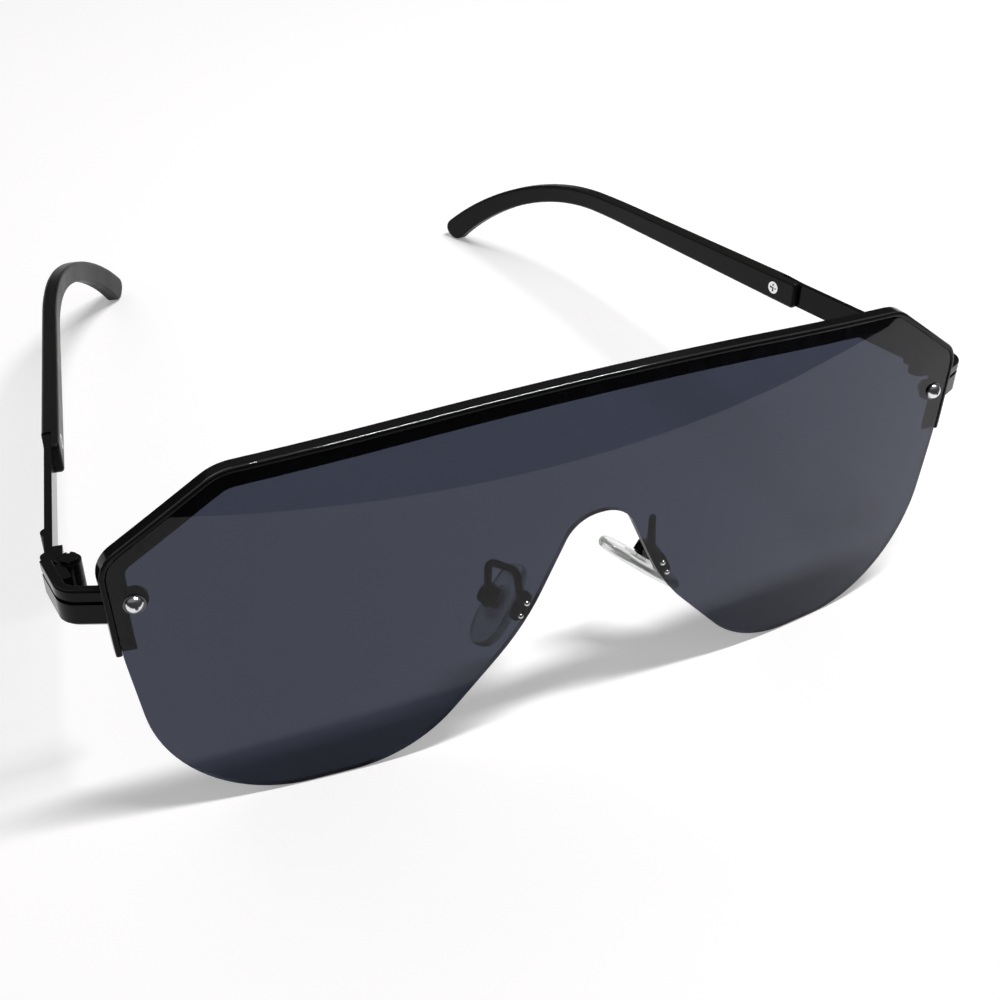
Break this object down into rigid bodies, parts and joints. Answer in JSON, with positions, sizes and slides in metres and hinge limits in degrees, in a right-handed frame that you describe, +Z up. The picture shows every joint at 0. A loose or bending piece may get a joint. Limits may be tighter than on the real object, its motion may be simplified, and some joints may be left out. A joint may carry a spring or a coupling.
{
  "type": "shield sunglasses",
  "caption": "Tinted shield sunglasses with a flat-topped brow frame, folding temples with curved tips, and clear nose pads that rock on bent wire arms.",
  "frame": {"origin": "under the middle of the open sunglasses, on the table that they lie on", "axes": "+X to the wearer's left, +Y back along the temples, +Z up from the table"},
  "size_m": [0.1528, 0.1452, 0.0597],
  "materials": {
    "tinted_lens": "polished",
    "black_metal": "gloss",
    "black_plastic": "gloss",
    "polished_steel": "polished",
    "black_rubber": "matt",
    "grey_plastic": "satin",
    "clear_silicone": "satin"
  },
  "bodies": {
    "front": {"shield_lens": "tinted_lens", "brow_frame": "black_metal", "left_lens_screw": "polished_steel", "left_lens_bush": "black_rubber", "left_lens_nut": "polished_steel", "left_end_piece": "black_metal", "left_front_hinge_leaf": "black_metal", "left_hinge_screw": "black_metal", "left_pad_plate": "black_metal", "left_pad_pins": "polished_steel", "left_pad_arm": "black_metal", "left_pad_box": "black_metal", "left_pad_screw": "polished_steel", "right_lens_screw": "polished_steel", "right_lens_bush": "black_rubber", "right_lens_nut": "polished_steel", "right_end_piece": "black_metal", "right_front_hinge_leaf": "black_metal", "right_hinge_screw": "black_metal", "right_pad_plate": "black_metal", "right_pad_pins": "polished_steel", "right_pad_arm": "black_metal", "right_pad_box": "black_metal", "right_pad_screw": "polished_steel"},
    "left_temple": {"left_rear_hinge_leaf": "black_metal", "left_temple_bar": "black_metal", "left_temple_sleeve": "black_plastic", "left_sleeve_screw": "polished_steel"},
    "left_pad": {"left_pad_insert": "grey_plastic", "left_nose_pad": "clear_silicone"},
    "right_temple": {"right_rear_hinge_leaf": "black_metal", "right_temple_bar": "black_metal", "right_temple_sleeve": "black_plastic", "right_sleeve_screw": "polished_steel"},
    "right_pad": {"right_pad_insert": "grey_plastic", "right_nose_pad": "clear_silicone"}
  },
  "joints": [
    {"name": "left_temple_fold", "type": "hinge", "parent": "front", "child": "left_temple", "pos_m": [0.07275, -0.05319, 0.03626], "axis": [0, 0.132, 0.9913], "range_deg": [0, 78.5]},
    {"name": "right_temple_fold", "type": "hinge", "parent": "front", "child": "right_temple", "pos_m": [-0.07275, -0.05319, 0.03626], "axis": [0, -0.132, -0.9913], "range_deg": [0, 72]},
    {"name": "left_pad_rock", "type": "hinge", "parent": "front", "child": "left_pad", "pos_m": [0.01394, -0.06298, 0.01925], "axis": [0.3884, 0.8012, -0.4552], "range_deg": [-10, 10]},
    {"name": "right_pad_rock", "type": "hinge", "parent": "front", "child": "right_pad", "pos_m": [-0.01394, -0.06298, 0.01925], "axis": [0.3884, -0.8012, 0.4552], "range_deg": [-10, 10]}
  ]
}
